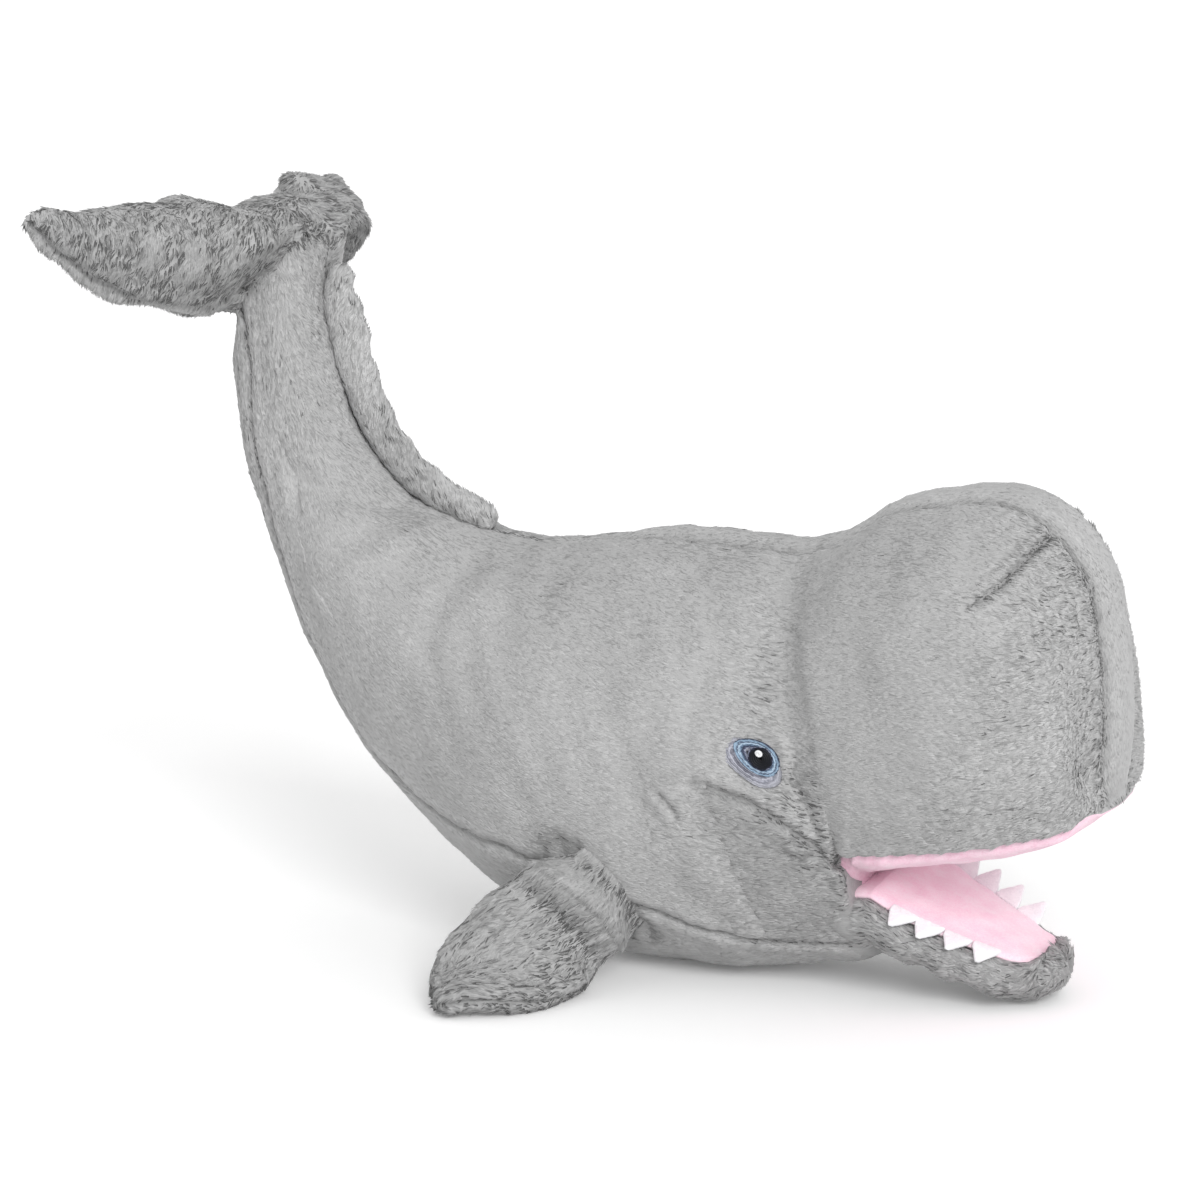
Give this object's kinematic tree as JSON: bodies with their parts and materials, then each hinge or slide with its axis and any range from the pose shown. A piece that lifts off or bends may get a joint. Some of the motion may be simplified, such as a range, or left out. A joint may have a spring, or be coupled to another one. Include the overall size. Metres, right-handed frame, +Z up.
{
  "type": "plush whale toy",
  "caption": "Stuffed plush sperm whale with an open hinged mouth, felt teeth, embroidered eyes, bending flippers and a raised fluke.",
  "frame": {"origin": "under the middle of the toy's box, on the surface that it rests on", "axes": "+X from the tail to the nose, +Y to the whale's left, +Z up from the flat under the belly"},
  "size_m": [0.3584, 0.2082, 0.2634],
  "materials": {
    "gray_plush": "short-pile plush, brushed nap",
    "dark_gray_plush": "short-pile plush, brushed nap, in the shade of the head",
    "pink_fleece": "short velour fleece, matte",
    "white_felt": "wool-like felt, matte",
    "white_fibre": "loose polyester fibre, matte",
    "lilac_thread": "satin-stitch embroidery, slightly glossy",
    "blue_thread": "satin-stitch embroidery, slightly glossy",
    "black_thread": "satin-stitch embroidery, slightly glossy",
    "white_thread": "satin-stitch embroidery, slightly glossy"
  },
  "bodies": {
    "torso": {"side_panel_right": "gray_plush", "side_panel_left": "gray_plush", "cheek_panel_right": "dark_gray_plush", "cheek_panel_left": "dark_gray_plush", "head_gusset": "gray_plush", "belly_gusset": "gray_plush", "palate_lining": "pink_fleece", "head_filling": "white_fibre", "body_filling": "white_fibre", "tail_filling": "white_fibre", "dorsal_ridge": "gray_plush", "eyelid_right": "lilac_thread", "iris_right": "blue_thread", "pupil_right": "black_thread", "highlight_right": "white_thread", "eyelid_left": "lilac_thread", "iris_left": "blue_thread", "pupil_left": "black_thread", "highlight_left": "white_thread"},
    "jaw": {"jaw_lining": "pink_fleece", "jaw_cover": "gray_plush", "jaw_filling": "white_fibre", "tooth_right_1": "white_felt", "tooth_right_2": "white_felt", "tooth_right_3": "white_felt", "tooth_right_4": "white_felt", "tooth_left_1": "white_felt", "tooth_left_2": "white_felt", "tooth_left_3": "white_felt", "tooth_left_4": "white_felt"},
    "flipper_right": {"flipper_right_upper": "gray_plush", "flipper_right_lower": "gray_plush", "flipper_right_filling": "white_fibre"},
    "flipper_left": {"flipper_left_upper": "gray_plush", "flipper_left_lower": "gray_plush", "flipper_left_filling": "white_fibre"},
    "fluke": {"fluke_front_panel": "gray_plush", "fluke_back_panel": "gray_plush", "fluke_filling": "white_fibre"}
  },
  "joints": [
    {"name": "jaw_hinge", "type": "hinge", "parent": "torso", "child": "jaw", "pos_m": [0.09982, 0, 0.02964], "axis": [0, -1, 0], "range_deg": [-5, 18], "stiffness_Nm_per_rad": 0.08},
    {"name": "flipper_right_hinge", "type": "hinge", "parent": "torso", "child": "flipper_right", "pos_m": [0.00673, -0.05205, 0.03281], "axis": [-0.5542, -0.3987, 0.7307], "range_deg": [-8, 30], "stiffness_Nm_per_rad": 0.08},
    {"name": "flipper_left_hinge", "type": "hinge", "parent": "torso", "child": "flipper_left", "pos_m": [0.00673, 0.05205, 0.03281], "axis": [0.5542, -0.3987, -0.7307], "range_deg": [-8, 30], "stiffness_Nm_per_rad": 0.08},
    {"name": "fluke_hinge", "type": "hinge", "parent": "torso", "child": "fluke", "pos_m": [-0.13719, 0, 0.23653], "axis": [0, 1, 0], "range_deg": [-15, 15], "stiffness_Nm_per_rad": 0.08}
  ]
}
